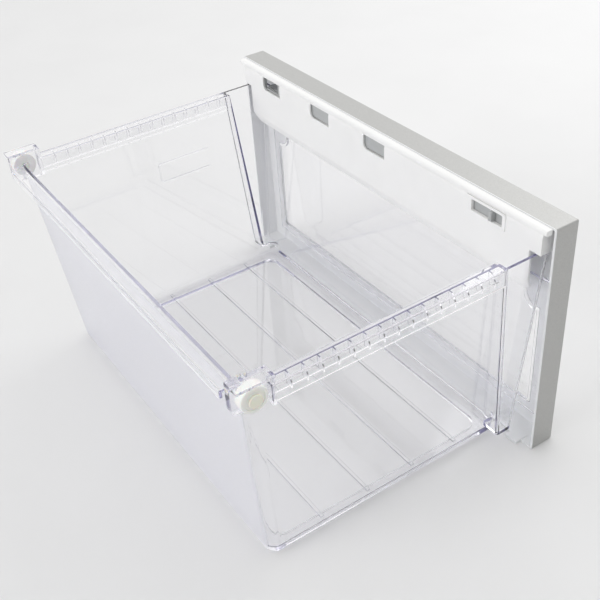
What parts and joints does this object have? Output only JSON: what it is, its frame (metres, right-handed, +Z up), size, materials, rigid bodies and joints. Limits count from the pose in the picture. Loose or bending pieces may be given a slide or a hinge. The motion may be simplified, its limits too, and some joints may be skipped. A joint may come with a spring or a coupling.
{
  "type": "refrigerator crisper drawer",
  "caption": "Clear refrigerator crisper drawer with a silver-framed windowed front panel, a white vent cover with a humidity slider, side rails and rear rollers.",
  "frame": {"origin": "on the ground, under the middle of the drawer's overall box", "axes": "+X to the right for a person facing the front panel, +Y from the panel to the rear wall, +Z up"},
  "size_m": [0.45, 0.303, 0.23],
  "materials": {
    "clear_tub": "clear polystyrene, polished, the rear wall frosted",
    "clear_window": "clear polystyrene, polished",
    "silver_paint": "fine silver metallic paint on moulded plastic",
    "white_cover": "white moulded plastic, satin",
    "grey_slider": "grey moulded plastic, satin",
    "white_roller": "white acetal, turned",
    "natural_pin": "natural nylon"
  },
  "bodies": {
    "drawer": {"drawer_tub": "clear_tub", "front_frame": "silver_paint", "front_window": "clear_window", "back_cover": "white_cover", "roller_pin_left": "natural_pin", "roller_pin_right": "natural_pin"},
    "slider": {"humidity_shutter": "grey_slider", "shutter_knob": "grey_slider"},
    "wheel_left": {"roller_left": "white_roller"},
    "wheel_right": {"roller_right": "white_roller"}
  },
  "joints": [
    {"name": "humidity_slide", "type": "slide", "parent": "drawer", "child": "slider", "axis": [1, 0, 0], "range_m": [-0.0098, 0.0212]},
    {"name": "roller_left_spin", "type": "hinge", "parent": "drawer", "child": "wheel_left", "pos_m": [-0.2106, 0.135, 0.1995], "axis": [1, 0, 0], "continuous": true},
    {"name": "roller_right_spin", "type": "hinge", "parent": "drawer", "child": "wheel_right", "pos_m": [0.2106, 0.135, 0.1995], "axis": [1, 0, 0], "continuous": true}
  ]
}
